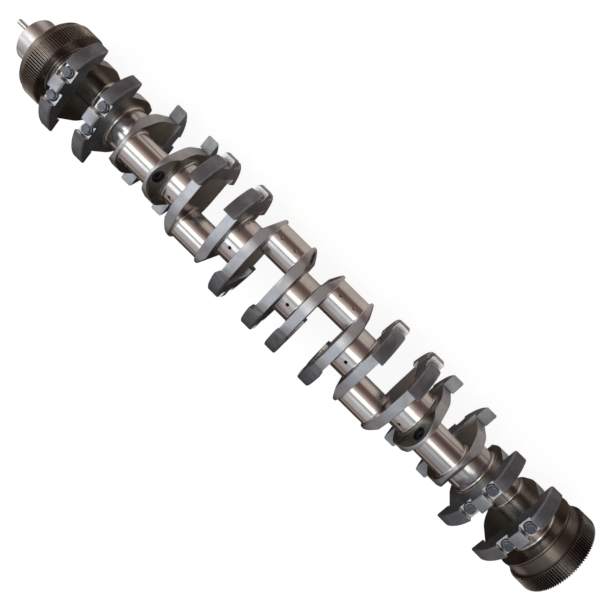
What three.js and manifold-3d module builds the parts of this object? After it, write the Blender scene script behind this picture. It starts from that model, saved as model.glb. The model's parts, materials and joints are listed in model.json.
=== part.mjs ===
// Crankshaft of a sixteen-cylinder V engine: one steel forging with eight throws and nine main journals,
// sixteen bolted counterweights, a gear at each end and a plugged oil bore in every crankpin.
// Millimetres. +X runs along the shaft towards the flywheel, and +Z and +Y are the two planes of the throws.
// The origin is the centre of the flywheel face, so the whole shaft lies at negative X.

import * as THREE from 'three';
import { mergeVertices } from 'three/addons/utils/BufferGeometryUtils.js';
import Module from 'manifold-3d';

const wasm = await Module();
wasm.setup();

// Driving dimensions of the throws
const THROW_COUNT = 8;
const THROW_PITCH = 275;
const THROW_RADIUS = 95;
const THROW_ANGLES = [-90, 90, 180, 0, 0, 180, 90, -90];
const PIN_RADIUS = 65;
const PIN_LENGTH = 127;
const JOURNAL_RADIUS = 87;
const JOURNAL_SIDES = 30;
const PIN_SIDES = 24;

// Crank webs: a parallel-sided lower part, a round end over the crankpin and a long bevel beside the journal
const WEB_THICKNESS = 38.5;
const WEB_HALF_WIDTH = 121;
const WEB_SHOULDER = 18;
const WEB_TIP = 170;
const WEB_TIP_THICKNESS = 8;
const WEB_END_RADIUS = 86;
const WEB_BEVEL_START = 104;
const JOINT_HEIGHT = 112;
const WEB_CURVE_STEPS = 6;

// Counterweights: slices of a disc, notched for the web, with two milled seats for the bolt heads
const WEIGHT_RADIUS = 197;
const WEIGHT_SIDES = 44;
const WEIGHT_CHAMFER = 4.5;
const WEIGHT_PIN_OVERHANG = 8;
const WEIGHT_JOURNAL_OVERHANG = 3;
const HORN_HEIGHT = 86;
const SEAT_HEIGHT = 163;
const SEAT_LENGTH = 48;
const BOLT_OFFSET = 47.3;

// Counterweight bolts
const BOLT_RADIUS = 12;
const BOLT_SIDES = 8;
const BOLT_HEAD_HEIGHT = 16;
const BOLT_HEAD_RADIUS = 19;
const BOLT_HEAD_SIDES = 12;
const BOLT_END = 60;
const BOLT_CLEARANCE = 0.8;

// Oil drillings and the plugged bore that runs into each crankpin, square to the web's bevel
const OIL_HOLE_RADIUS = 5;
const OIL_HOLE_SIDES = 6;
const PIN_OIL_SPACING = 62;
const PIN_OIL_ANGLE = 60;
const PIN_OIL_DEPTH = 40;
const JOURNAL_OIL_ANGLE = 102;
const JOURNAL_OIL_STEP = 20;
const BORE_RADIUS = 21;
const BORE_SIDES = 12;
const BORE_HEIGHT = 138;
const BORE_DEPTH = 136;
const PLUG_RECESS = 7;
const PLUG_LENGTH = 16;
const PLUG_SOCKET_RADIUS = 9;
const PLUG_SOCKET_DEPTH = 9;

// Front end: gear seat, nose and the dowel that times the vibration damper
const NOSE_RADIUS = 84.5;
const NOSE_END = -1313;
const NOSE_CHAMFER = 5;
const FRONT_GEAR_START = -1220;
const FRONT_TEETH_START = -1196;
const FRONT_SHOULDER_RADIUS = 151;
const FRONT_SHOULDER_CHAMFER = 7;
const DOWEL_RADIUS = 10;
const DOWEL_SIDES = 12;
const DOWEL_CIRCLE = 62;
const DOWEL_ANGLE = 67.5;
const DOWEL_DEPTH = 40;
const DOWEL_PROTRUSION = 46;
const DAMPER_HOLE_COUNT = 6;
const DAMPER_HOLE_RADIUS = 9;
const DAMPER_HOLE_DEPTH = 40;

// Rear end: oil slinger edge, seal drum, gear seat and flywheel face
const SLINGER_RADIUS = 150;
const SLINGER_WIDTH = 5.5;
const GROOVE_RADIUS = 142;
const GROOVE_WIDTH = 5;
const DRUM_RADIUS = 147;
const REAR_TEETH_START = 1192;
const REAR_SEAT_RADIUS = 124;
const REAR_FACE = 1246;
const FLYWHEEL_HOLE_COUNT = 12;
const FLYWHEEL_HOLE_RADIUS = 13;
const FLYWHEEL_HOLE_CIRCLE = 95;
const FLYWHEEL_HOLE_DEPTH = 45;
const END_HOLE_SIDES = 8;

// Gears
const FRONT_GEAR_TIP = 159;
const FRONT_GEAR_TEETH = 100;
const REAR_GEAR_TIP = 161;
const REAR_GEAR_TEETH = 104;
const TOOTH_DEPTH = 7;

// Gaps between pieces that touch
const FACE_GAP = 0.3;
const SEAT_GAP = 0.4;

const SHAFT_SIDES = 36;
const OVERLAP = 4;
const HALF_THROW = PIN_LENGTH / 2 + WEB_THICKNESS;
const JOURNAL_LENGTH = THROW_PITCH - 2 * HALF_THROW;
const FIRST_JOURNAL_START = -THROW_COUNT / 2 * THROW_PITCH - JOURNAL_LENGTH / 2;
const LAST_JOURNAL_END = -FIRST_JOURNAL_START;
const BEVEL_ANGLE = Math.atan((WEB_THICKNESS - WEB_TIP_THICKNESS) / (WEB_TIP - WEB_BEVEL_START));

const radians = THREE.MathUtils.degToRad;

// ---- solids ----

function toSolid(geometry) {
  const bare = geometry.clone();
  bare.deleteAttribute('normal');
  bare.deleteAttribute('uv');
  const merged = mergeVertices(bare, 1e-4);
  const mesh = new wasm.Mesh({
    numProp: 3,
    vertProperties: new Float32Array(merged.attributes.position.array),
    triVerts: new Uint32Array(merged.index.array),
  });
  return new wasm.Manifold(mesh);
}

function toGeometry(solid) {
  const mesh = solid.getMesh();
  const geometry = new THREE.BufferGeometry();
  geometry.setAttribute('position', new THREE.BufferAttribute(new Float32Array(mesh.vertProperties), 3));
  geometry.setIndex(new THREE.BufferAttribute(new Uint32Array(mesh.triVerts), 1));
  geometry.computeVertexNormals();
  return geometry;
}

function join(geometries) {
  return geometries.map(toSolid).reduce((whole, piece) => whole.add(piece));
}

function cut(solid, geometries) {
  return geometries.map(toSolid).reduce((left, tool) => left.subtract(tool), solid);
}

// A prism or cylinder along local Z, from one height to another
function rod(radius, from, to, sides) {
  const geometry = new THREE.CylinderGeometry(radius, radius, to - from, sides);
  geometry.rotateX(Math.PI / 2);
  geometry.translate(0, 0, (from + to) / 2);
  return geometry;
}

// A solid turned about the shaft axis from [x, radius] steps, laid along +X
function turned(steps, sides) {
  const points = steps.map(([x, radius]) => new THREE.Vector2(radius, x));
  const geometry = new THREE.LatheGeometry(points, sides);
  geometry.rotateZ(-Math.PI / 2);
  return geometry;
}

function box(width, height, depth, x, y, z) {
  const geometry = new THREE.BoxGeometry(width, height, depth);
  geometry.translate(x, y, z);
  return geometry;
}

function extruded(shape, depth) {
  return new THREE.ExtrudeGeometry(shape, { depth, bevelEnabled: false, curveSegments: WEB_CURVE_STEPS });
}

// ---- frames ----

// A throw's own frame: local X is sideways, local Y points to the crankpin and local Z runs along the shaft
function throwMatrix(index) {
  const angle = radians(THROW_ANGLES[index]);
  const sideways = new THREE.Vector3(0, Math.sin(angle), -Math.cos(angle));
  const outwards = new THREE.Vector3(0, Math.cos(angle), Math.sin(angle));
  const matrix = new THREE.Matrix4().makeBasis(sideways, outwards, new THREE.Vector3(1, 0, 0));
  matrix.setPosition(throwCentre(index), 0, 0);
  return matrix;
}

function throwCentre(index) {
  return (index - (THROW_COUNT - 1) / 2) * THROW_PITCH;
}

// Turns a half throw built on the flywheel side into the one on the nose side
const NOSE_SIDE = new THREE.Matrix4().makeRotationY(Math.PI);
const FLYWHEEL_SIDE = new THREE.Matrix4();

function halfThrowMatrix(index, side) {
  return throwMatrix(index).multiply(side);
}

// The plugged bore opens on the web that faces the middle of the shaft
function boreSide(index) {
  return index < THROW_COUNT / 2 ? FLYWHEEL_SIDE : NOSE_SIDE;
}

function placed(geometry, matrix) {
  return geometry.clone().applyMatrix4(matrix);
}

// ---- forging ----

function webOutline() {
  const arcHeight = WEB_TIP - WEB_END_RADIUS;
  const shape = new THREE.Shape();
  shape.moveTo(-WEB_HALF_WIDTH, -JOINT_HEIGHT);
  shape.lineTo(WEB_HALF_WIDTH, -JOINT_HEIGHT);
  shape.lineTo(WEB_HALF_WIDTH, WEB_SHOULDER);
  shape.quadraticCurveTo(WEB_HALF_WIDTH - 4, 62, WEB_END_RADIUS * Math.cos(radians(12)),
    arcHeight + WEB_END_RADIUS * Math.sin(radians(12)));
  shape.absarc(0, arcHeight, WEB_END_RADIUS, radians(12), radians(168), false);
  shape.quadraticCurveTo(-WEB_HALF_WIDTH + 4, 62, -WEB_HALF_WIDTH, WEB_SHOULDER);
  return shape;
}

// Side view of the web in [height, along the shaft], with the bevel next to the main journal
function webSection() {
  const inner = PIN_LENGTH / 2;
  const shape = new THREE.Shape();
  shape.moveTo(-JOINT_HEIGHT - OVERLAP, inner);
  shape.lineTo(WEB_TIP + OVERLAP, inner);
  shape.lineTo(WEB_TIP + OVERLAP, inner + WEB_TIP_THICKNESS - OVERLAP * Math.tan(BEVEL_ANGLE));
  shape.lineTo(WEB_BEVEL_START, inner + WEB_THICKNESS);
  shape.lineTo(-JOINT_HEIGHT - OVERLAP, inner + WEB_THICKNESS);
  return shape;
}

function web() {
  const body = extruded(webOutline(), WEB_THICKNESS);
  body.translate(0, 0, PIN_LENGTH / 2);
  const section = extruded(webSection(), 2 * (WEB_HALF_WIDTH + OVERLAP));
  const sectionBasis = new THREE.Matrix4().makeBasis(
    new THREE.Vector3(0, 1, 0),
    new THREE.Vector3(0, 0, 1),
    new THREE.Vector3(1, 0, 0),
  );
  section.translate(0, 0, -WEB_HALF_WIDTH - OVERLAP);
  section.applyMatrix4(sectionBasis);
  return toGeometry(toSolid(body).intersect(toSolid(section)));
}

function crankpin() {
  const reach = PIN_LENGTH / 2 + OVERLAP;
  const geometry = rod(PIN_RADIUS, -reach, reach, PIN_SIDES);
  geometry.translate(0, THROW_RADIUS, 0);
  return geometry;
}

// The web's threaded hole for one counterweight bolt, along -Y of the throw's frame
function boltHole(radius, from, to) {
  const geometry = rod(radius, from, to, BOLT_SIDES);
  geometry.rotateX(Math.PI / 2);
  geometry.translate(0, 0, PIN_LENGTH / 2 + WEB_THICKNESS / 2);
  return geometry;
}

function boltHoles(from, to) {
  return [-BOLT_OFFSET, BOLT_OFFSET].map((offset) => {
    const geometry = boltHole(BOLT_RADIUS + BOLT_CLEARANCE, from, to);
    geometry.translate(offset, 0, 0);
    return geometry;
  });
}

// Frame of the plugged bore: its origin is on the bevel, and local Z points out of the mouth
function boreMatrix() {
  const along = HALF_THROW - (BORE_HEIGHT - WEB_BEVEL_START) * Math.tan(BEVEL_ANGLE);
  const matrix = new THREE.Matrix4().makeRotationX(-BEVEL_ANGLE);
  matrix.setPosition(0, BORE_HEIGHT, along);
  return matrix;
}

function pinBore() {
  return placed(rod(BORE_RADIUS, -BORE_DEPTH, OVERLAP, BORE_SIDES), boreMatrix());
}

function pinOilHoles() {
  return [-1, 1].map((end) => {
    const geometry = rod(OIL_HOLE_RADIUS, PIN_RADIUS - PIN_OIL_DEPTH, PIN_RADIUS + OVERLAP, OIL_HOLE_SIDES);
    geometry.rotateX(-Math.PI / 2);
    geometry.rotateZ(radians(PIN_OIL_ANGLE));
    geometry.translate(0, THROW_RADIUS, end * PIN_OIL_SPACING / 2);
    return geometry;
  });
}

// A drilling straight through a main journal, turned further round on the journals towards the ends
function journalOilHole(fromMiddle) {
  const reach = JOURNAL_RADIUS + OVERLAP;
  const geometry = rod(OIL_HOLE_RADIUS, -reach, reach, OIL_HOLE_SIDES);
  const angle = JOURNAL_OIL_ANGLE + JOURNAL_OIL_STEP * Math.max(0, Math.abs(fromMiddle) - 1);
  geometry.rotateX(radians(angle - 90));
  geometry.translate(fromMiddle * THROW_PITCH, 0, 0);
  return geometry;
}

// Blind holes on a circle in an end face; direction is +1 on the flywheel face and -1 on the nose
function endHoles(count, radius, circle, depth, face, direction, firstAngle) {
  return Array.from({ length: count }, (_, i) => {
    const angle = radians(firstAngle) + i * 2 * Math.PI / count;
    const geometry = rod(radius, -depth, OVERLAP, END_HOLE_SIDES);
    geometry.rotateY(direction * Math.PI / 2);
    geometry.translate(face, circle * Math.cos(angle), circle * Math.sin(angle));
    return geometry;
  });
}

function dowelHole() {
  const geometry = rod(DOWEL_RADIUS + SEAT_GAP, NOSE_END - OVERLAP, NOSE_END + DOWEL_DEPTH, DOWEL_SIDES);
  geometry.rotateY(Math.PI / 2);
  geometry.translate(0, dowelPosition().y, dowelPosition().z);
  return geometry;
}

function dowelPosition() {
  const angle = radians(DOWEL_ANGLE);
  return new THREE.Vector3(0, DOWEL_CIRCLE * Math.cos(angle), DOWEL_CIRCLE * Math.sin(angle));
}

function frontEnd() {
  return turned([
    [NOSE_END, 0],
    [NOSE_END, NOSE_RADIUS - NOSE_CHAMFER],
    [NOSE_END + NOSE_CHAMFER, NOSE_RADIUS],
    [FIRST_JOURNAL_START, NOSE_RADIUS],
    [FIRST_JOURNAL_START, JOURNAL_RADIUS],
    [FIRST_JOURNAL_START + JOURNAL_LENGTH + OVERLAP, JOURNAL_RADIUS],
    [FIRST_JOURNAL_START + JOURNAL_LENGTH + OVERLAP, 0],
  ], JOURNAL_SIDES);
}

function rearEnd() {
  const slingerEnd = LAST_JOURNAL_END + SLINGER_WIDTH;
  const drumStart = slingerEnd + GROOVE_WIDTH;
  return turned([
    [LAST_JOURNAL_END - JOURNAL_LENGTH - OVERLAP, 0],
    [LAST_JOURNAL_END - JOURNAL_LENGTH - OVERLAP, JOURNAL_RADIUS],
    [LAST_JOURNAL_END, JOURNAL_RADIUS],
    [LAST_JOURNAL_END, SLINGER_RADIUS],
    [slingerEnd, SLINGER_RADIUS],
    [slingerEnd, GROOVE_RADIUS],
    [drumStart, GROOVE_RADIUS],
    [drumStart, DRUM_RADIUS],
    [REAR_TEETH_START, DRUM_RADIUS],
    [REAR_TEETH_START, REAR_SEAT_RADIUS],
    [REAR_FACE, REAR_SEAT_RADIUS],
    [REAR_FACE, 0],
  ], SHAFT_SIDES);
}

function middleJournal(index) {
  const centre = throwCentre(index) + THROW_PITCH / 2;
  const reach = JOURNAL_LENGTH / 2 + OVERLAP;
  const geometry = rod(JOURNAL_RADIUS, -reach, reach, JOURNAL_SIDES);
  geometry.rotateY(Math.PI / 2);
  geometry.translate(centre, 0, 0);
  return geometry;
}

function forging() {
  const pieces = [frontEnd(), rearEnd()];
  const holes = [
    dowelHole(),
    ...endHoles(DAMPER_HOLE_COUNT, DAMPER_HOLE_RADIUS, DOWEL_CIRCLE, DAMPER_HOLE_DEPTH, NOSE_END, -1,
      DOWEL_ANGLE + 180 / DAMPER_HOLE_COUNT),
    ...endHoles(FLYWHEEL_HOLE_COUNT, FLYWHEEL_HOLE_RADIUS, FLYWHEEL_HOLE_CIRCLE, FLYWHEEL_HOLE_DEPTH,
      REAR_FACE, 1, 0),
  ];
  const oneWeb = web();
  for (let i = 0; i < THROW_COUNT; i += 1) {
    pieces.push(placed(crankpin(), throwMatrix(i)));
    if (i < THROW_COUNT - 1) {
      pieces.push(middleJournal(i));
    }
    for (const side of [NOSE_SIDE, FLYWHEEL_SIDE]) {
      const matrix = halfThrowMatrix(i, side);
      pieces.push(placed(oneWeb, matrix));
      holes.push(...boltHoles(BOLT_END - OVERLAP, JOINT_HEIGHT + OVERLAP).map((hole) => placed(hole, matrix)));
    }
    holes.push(placed(pinBore(), halfThrowMatrix(i, boreSide(i))));
    holes.push(...pinOilHoles().map((hole) => placed(hole, throwMatrix(i))));
  }
  for (let i = 0; i <= THROW_COUNT; i += 1) {
    holes.push(journalOilHole(i - THROW_COUNT / 2));
  }
  return toGeometry(cut(join(pieces), holes));
}

// ---- pieces bolted or pressed to the forging ----

function counterweight() {
  const from = PIN_LENGTH / 2 - WEIGHT_PIN_OVERHANG;
  const to = HALF_THROW + WEIGHT_JOURNAL_OVERHANG;
  const disc = turned([
    [from, 0],
    [from, WEIGHT_RADIUS - WEIGHT_CHAMFER],
    [from + WEIGHT_CHAMFER, WEIGHT_RADIUS],
    [to - WEIGHT_CHAMFER, WEIGHT_RADIUS],
    [to, WEIGHT_RADIUS - WEIGHT_CHAMFER],
    [to, 0],
  ], WEIGHT_SIDES);
  disc.rotateY(-Math.PI / 2);
  const depth = to - from + 2 * OVERLAP;
  const middle = (from + to) / 2;
  const size = 2 * (WEIGHT_RADIUS + OVERLAP);
  const pocket = 2 * (WEB_HALF_WIDTH + FACE_GAP);
  const tools = [
    box(size, size, depth, 0, size / 2 - HORN_HEIGHT, middle),
    box(pocket, JOINT_HEIGHT, depth, 0, -JOINT_HEIGHT / 2 - FACE_GAP, middle),
    ...boltHoles(JOINT_HEIGHT - OVERLAP, SEAT_HEIGHT + OVERLAP),
  ];
  for (const offset of [-BOLT_OFFSET, BOLT_OFFSET]) {
    tools.push(box(SEAT_LENGTH, SEAT_HEIGHT, depth, offset, -1.5 * SEAT_HEIGHT, middle));
  }
  return toGeometry(cut(toSolid(disc), tools));
}

// Twelve-sided head and plain shank, standing in the throw's frame with the head outwards
function counterweightBolt() {
  const seat = SEAT_HEIGHT + FACE_GAP;
  const pieces = [
    rod(BOLT_HEAD_RADIUS, seat, seat + BOLT_HEAD_HEIGHT, BOLT_HEAD_SIDES),
    rod(BOLT_RADIUS, BOLT_END, seat + OVERLAP, BOLT_SIDES),
  ];
  const geometry = toGeometry(join(pieces));
  geometry.rotateX(Math.PI / 2);
  geometry.translate(0, 0, PIN_LENGTH / 2 + WEB_THICKNESS / 2);
  return geometry;
}

function oilPlug() {
  const body = rod(BORE_RADIUS - SEAT_GAP, -PLUG_RECESS - PLUG_LENGTH, -PLUG_RECESS, BORE_SIDES);
  const socket = rod(PLUG_SOCKET_RADIUS, -PLUG_RECESS - PLUG_SOCKET_DEPTH, OVERLAP, OIL_HOLE_SIDES);
  return placed(toGeometry(cut(toSolid(body), [socket])), boreMatrix());
}

function toothOutline(teeth, tipRadius) {
  const shape = new THREE.Shape();
  const fractions = [[-0.5, -1], [-0.14, 0], [0.14, 0]];
  for (let i = 0; i < teeth; i += 1) {
    for (const [offset, level] of fractions) {
      const angle = (i + offset) * 2 * Math.PI / teeth;
      const radius = tipRadius + level * TOOTH_DEPTH;
      const first = i === 0 && offset === fractions[0][0];
      shape[first ? 'moveTo' : 'lineTo'](radius * Math.cos(angle), radius * Math.sin(angle));
    }
  }
  return shape;
}

function toothedRing(teeth, tipRadius, from, to) {
  const geometry = extruded(toothOutline(teeth, tipRadius), to - from);
  geometry.rotateY(Math.PI / 2);
  geometry.translate(from, 0, 0);
  return geometry;
}

function gearBore(radius, from, to, sides) {
  return turned([
    [from - OVERLAP, 0],
    [from - OVERLAP, radius + SEAT_GAP],
    [to + OVERLAP, radius + SEAT_GAP],
    [to + OVERLAP, 0],
  ], sides);
}

function frontGear() {
  const end = FIRST_JOURNAL_START - FACE_GAP;
  const shoulder = turned([
    [FRONT_GEAR_START, 0],
    [FRONT_GEAR_START, FRONT_SHOULDER_RADIUS - FRONT_SHOULDER_CHAMFER],
    [FRONT_GEAR_START + FRONT_SHOULDER_CHAMFER, FRONT_SHOULDER_RADIUS],
    [FRONT_TEETH_START + OVERLAP, FRONT_SHOULDER_RADIUS],
    [FRONT_TEETH_START + OVERLAP, 0],
  ], SHAFT_SIDES);
  const whole = join([shoulder, toothedRing(FRONT_GEAR_TEETH, FRONT_GEAR_TIP, FRONT_TEETH_START, end)]);
  return toGeometry(cut(whole, [gearBore(NOSE_RADIUS, FRONT_GEAR_START, end, JOURNAL_SIDES)]));
}

function rearGear() {
  const start = REAR_TEETH_START + FACE_GAP;
  const ring = toSolid(toothedRing(REAR_GEAR_TEETH, REAR_GEAR_TIP, start, REAR_FACE));
  return toGeometry(cut(ring, [gearBore(REAR_SEAT_RADIUS, start, REAR_FACE, SHAFT_SIDES)]));
}

function noseDowel() {
  const geometry = rod(DOWEL_RADIUS, NOSE_END - DOWEL_PROTRUSION, NOSE_END + DOWEL_DEPTH - FACE_GAP, DOWEL_SIDES);
  geometry.rotateY(Math.PI / 2);
  return geometry;
}

// ---- assembly ----

function finish(color, roughness, metalness) {
  return new THREE.MeshStandardMaterial({ color, roughness, metalness });
}

const FORGED_STEEL = finish(0x8f8c8a, 0.35, 0.9);
const PAINTED_IRON = finish(0x3b3c40, 0.6, 0.4);
const BOLT_STEEL = finish(0x3a434b, 0.5, 0.7);
const GEAR_STEEL = finish(0x4a3f38, 0.4, 0.85);
const PLUG_STEEL = finish(0x23272d, 0.5, 0.7);
const DOWEL_STEEL = finish(0xb9b9ba, 0.3, 0.95);

const crankshaft = new THREE.Group();
crankshaft.position.x = -REAR_FACE;

function add(name, geometry, material) {
  const mesh = new THREE.Mesh(geometry, material.clone());
  mesh.name = name;
  crankshaft.add(mesh);
  return mesh;
}

function addPlaced(name, geometry, material, matrix) {
  const mesh = add(name, geometry, material);
  matrix.decompose(mesh.position, mesh.quaternion, mesh.scale);
}

add('crankshaft_forging', forging(), FORGED_STEEL);
add('front_gear', frontGear(), GEAR_STEEL);
add('rear_gear', rearGear(), GEAR_STEEL);
add('nose_dowel', noseDowel(), DOWEL_STEEL).position.copy(dowelPosition());

const weight = counterweight();
const bolt = counterweightBolt();
const plug = oilPlug();
for (let i = 0; i < THROW_COUNT; i += 1) {
  const number = i + 1;
  addPlaced(`oil_plug_${number}`, plug, PLUG_STEEL, halfThrowMatrix(i, boreSide(i)));
  for (const [end, side] of [['front', NOSE_SIDE], ['rear', FLYWHEEL_SIDE]]) {
    const matrix = halfThrowMatrix(i, side);
    addPlaced(`counterweight_${number}_${end}`, weight, PAINTED_IRON, matrix);
    for (const [hand, offset] of [['left', -BOLT_OFFSET], ['right', BOLT_OFFSET]]) {
      const boltMatrix = matrix.clone().multiply(new THREE.Matrix4().makeTranslation(offset, 0, 0));
      addPlaced(`counterweight_bolt_${number}_${end}_${hand}`, bolt, BOLT_STEEL, boltMatrix);
    }
  }
}

export default crankshaft;
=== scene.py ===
"""A sixteen-cylinder engine's crankshaft: one steel forging, bolted counterweights, two gears.
Metres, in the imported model's frame: +X runs along the shaft to the flywheel face at x = 0,
and +Z is up."""

import json
import math

import bmesh
import bpy
from mathutils import Matrix, Vector

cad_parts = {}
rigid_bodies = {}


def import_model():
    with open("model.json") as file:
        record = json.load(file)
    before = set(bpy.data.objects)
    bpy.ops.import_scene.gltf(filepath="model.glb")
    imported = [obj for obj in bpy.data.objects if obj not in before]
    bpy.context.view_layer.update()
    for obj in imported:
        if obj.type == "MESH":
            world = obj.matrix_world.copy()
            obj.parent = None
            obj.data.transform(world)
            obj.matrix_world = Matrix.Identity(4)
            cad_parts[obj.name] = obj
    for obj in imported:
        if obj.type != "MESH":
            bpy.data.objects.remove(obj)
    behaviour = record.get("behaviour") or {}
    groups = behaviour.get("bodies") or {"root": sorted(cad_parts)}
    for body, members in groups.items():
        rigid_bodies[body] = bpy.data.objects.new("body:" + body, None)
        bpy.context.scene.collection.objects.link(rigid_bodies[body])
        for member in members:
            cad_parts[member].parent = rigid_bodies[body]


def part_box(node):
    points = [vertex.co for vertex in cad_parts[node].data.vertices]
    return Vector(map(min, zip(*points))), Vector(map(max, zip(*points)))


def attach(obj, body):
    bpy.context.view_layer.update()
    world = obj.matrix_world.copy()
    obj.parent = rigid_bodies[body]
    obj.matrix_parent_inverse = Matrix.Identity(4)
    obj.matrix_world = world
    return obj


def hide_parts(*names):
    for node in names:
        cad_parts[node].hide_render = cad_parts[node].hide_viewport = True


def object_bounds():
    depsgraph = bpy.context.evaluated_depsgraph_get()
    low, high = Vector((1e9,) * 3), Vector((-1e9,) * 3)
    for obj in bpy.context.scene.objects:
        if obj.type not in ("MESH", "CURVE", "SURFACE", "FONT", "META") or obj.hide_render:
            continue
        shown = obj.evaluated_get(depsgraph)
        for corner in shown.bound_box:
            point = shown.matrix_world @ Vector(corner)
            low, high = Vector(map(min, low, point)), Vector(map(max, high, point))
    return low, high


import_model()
cad_low, cad_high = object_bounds()

# Camera: it looks down on the shaft from above its middle, leaning 16 degrees towards +Y,
# and is rolled so that the shaft runs from the upper left to the lower right.
TILT = math.radians(15.976)
PAN = math.radians(2.309)
NOD = math.radians(-0.562)
ROLL = math.radians(44.548)
FROM_MIDDLE = Vector((0.1613, 0.6272, 2.1127))
camera_data = bpy.data.cameras.new("camera")
camera_data.lens = 37.92
camera_data.sensor_width = 36
camera = bpy.data.objects.new("camera", camera_data)
bpy.context.scene.collection.objects.link(camera)
camera_turn = (
    Matrix.Rotation(-TILT, 4, "X")
    @ Matrix.Rotation(PAN, 4, "Y")
    @ Matrix.Rotation(NOD, 4, "X")
    @ Matrix.Rotation(ROLL, 4, "Z")
)
shaft_middle = (cad_low + cad_high) / 2
camera.matrix_world = Matrix.Translation(shaft_middle + FROM_MIDDLE) @ camera_turn
bpy.context.scene.camera = camera


# Floor: a wide pale sheet, just touching the lowest counterweights. The metal mirrors it as warm
# and pale beyond the shaft, past its ends and far out on the near side. Close by on the near side
# and towards the shaft's ends it mirrors a dark painted shadow of the shaft, because a white floor
# would wash out the undersides of the polished journals.
def add_node(tree, kind, inputs, **properties):
    """Adds a shader node, sets its properties, and sets or links each of its inputs."""
    made = tree.nodes.new("ShaderNode" + kind)
    for name, value in properties.items():
        setattr(made, name, value)
    for name, value in inputs.items():
        if isinstance(value, bpy.types.NodeSocket):
            tree.links.new(value, made.inputs[name])
        else:
            made.inputs[name].default_value = value
    return made


def calculated(tree, operation, *values):
    """The result of a Math node."""
    return add_node(tree, "Math", dict(enumerate(values)), operation=operation).outputs[0]


def ramped(tree, value, start, stop, least=0.0, most=1.0):
    """A value brought from the range start to stop into the range least to most."""
    made = add_node(tree, "MapRange", {"Value": value, "From Min": start, "From Max": stop,
                                       "To Min": least, "To Max": most})
    return made.outputs[0]


def mixed_colour(tree, share, first, second):
    """A colour between two others: the Mix node's colours are its sockets 6, 7 and 2."""
    return add_node(tree, "Mix", {0: share, 6: first, 7: second}, data_type="RGBA").outputs[2]


def new_material(name):
    """An empty node material, with its tree and its surface socket."""
    material = bpy.data.materials.new(name)
    material.use_nodes = True
    material.node_tree.nodes.clear()
    output = material.node_tree.nodes.new("ShaderNodeOutputMaterial")
    return material, material.node_tree, output.inputs["Surface"]


def new_object(name, mesh, collection, materials):
    """An object made from a solid, with its materials."""
    data = bpy.data.meshes.new(name)
    mesh.to_mesh(data)
    for material in materials:
        data.materials.append(material)
    made = bpy.data.objects.new(name, data)
    collection.objects.link(made)
    return made


FLOOR_HALF_SIZE = 30.0
# The dark tone is a painted shadow of the shaft on the floor, seen only in the metal's reflections
FLOOR_PAINTED_SHADOW, FLOOR_PALE = (0.085, 0.070, 0.060, 1), (0.88, 0.80, 0.745, 1)
floor_material, tree, surface = new_material("pale_floor")
coordinates = add_node(tree, "TexCoord", {}).outputs["Object"]
mottle = add_node(tree, "TexNoise", {"Vector": coordinates, "Scale": 3.0, "Detail": 6.0})
pale = mixed_colour(tree, mottle.outputs["Fac"], (0.18, 0.18, 0.18, 1), (0.21, 0.21, 0.21, 1))
seen = add_node(tree, "BsdfDiffuse", {"Color": pale})
glow = add_node(tree, "Emission", {"Color": (1, 1, 1, 1), "Strength": 0.90})
bright = add_node(tree, "AddShader", {0: seen.outputs[0], 1: glow.outputs[0]})

# Shares of the pale tone in what the metal mirrors, by the place on the floor; the rest is the
# painted shadow
place = add_node(tree, "SeparateXYZ", {"Vector": coordinates})
from_middle = calculated(tree, "ABSOLUTE",
                         calculated(tree, "SUBTRACT", place.outputs["X"], shaft_middle.x))
under_ends = ramped(tree, from_middle, 0.92, 1.22, 1.0, 0.25)
far_side = calculated(tree, "MULTIPLY", ramped(tree, place.outputs["Y"], -0.16, 0.05), under_ends)
near_side = ramped(tree, place.outputs["Y"], -0.95, -1.3, 0.0, 0.65)
beyond_ends = ramped(tree, from_middle, 1.38, 1.6, 0.0, 0.9)
lit = calculated(tree, "MAXIMUM", calculated(tree, "MAXIMUM", far_side, near_side), beyond_ends)
mirrored = add_node(tree, "BsdfDiffuse", {"Color": mixed_colour(tree, lit, FLOOR_PAINTED_SHADOW, FLOOR_PALE)})
path = add_node(tree, "LightPath", {})
choice = add_node(tree, "MixShader", {0: path.outputs["Is Camera Ray"], 1: mirrored.outputs[0],
                                      2: bright.outputs[0]})
tree.links.new(choice.outputs[0], surface)

floor_mesh = bmesh.new()
bmesh.ops.create_grid(floor_mesh, x_segments=8, y_segments=8, size=FLOOR_HALF_SIZE)
bmesh.ops.translate(floor_mesh, verts=floor_mesh.verts, vec=(0, 0, cad_low.z))
floor = new_object("floor", floor_mesh, bpy.context.scene.collection, [floor_material])

# Studio: two long soft boxes laid parallel to the shaft, so that each cylinder shows them as
# bands along its length, in a room of dim warm and cool walls.
VIEW_AXIS = Vector((0, math.sin(TILT), math.cos(TILT)))
VIEW_UP = Vector((0, math.cos(TILT), -math.sin(TILT)))


def soft_box(name, angle, distance, width, length, radiance, colour, shift):
    """An area light seen from the shaft at that angle up from the view axis, facing the shaft."""
    turn = math.radians(angle)
    towards = VIEW_AXIS * math.cos(turn) + VIEW_UP * math.sin(turn)
    along = Vector((1, 0, 0))
    data = bpy.data.lights.new(name, "AREA")
    data.shape = "RECTANGLE"
    data.size = length
    data.size_y = width
    data.energy = radiance * math.pi * length * width
    data.color = colour
    light = bpy.data.objects.new(name, data)
    bpy.context.scene.collection.objects.link(light)
    basis = Matrix((along, towards.cross(along), towards)).transposed()
    middle = shaft_middle + along * shift + towards * distance
    light.matrix_world = Matrix.Translation(middle) @ basis.to_4x4()
    light.visible_camera = False


soft_box("key_box", -11, 3.0, 1.15, 6.7, 1.1, (1.0, 0.985, 0.97), -0.17)
soft_box("left_box", -41, 3.2, 1.05, 3.5, 0.7, (0.96, 0.98, 1.0), -2.25)

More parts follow.
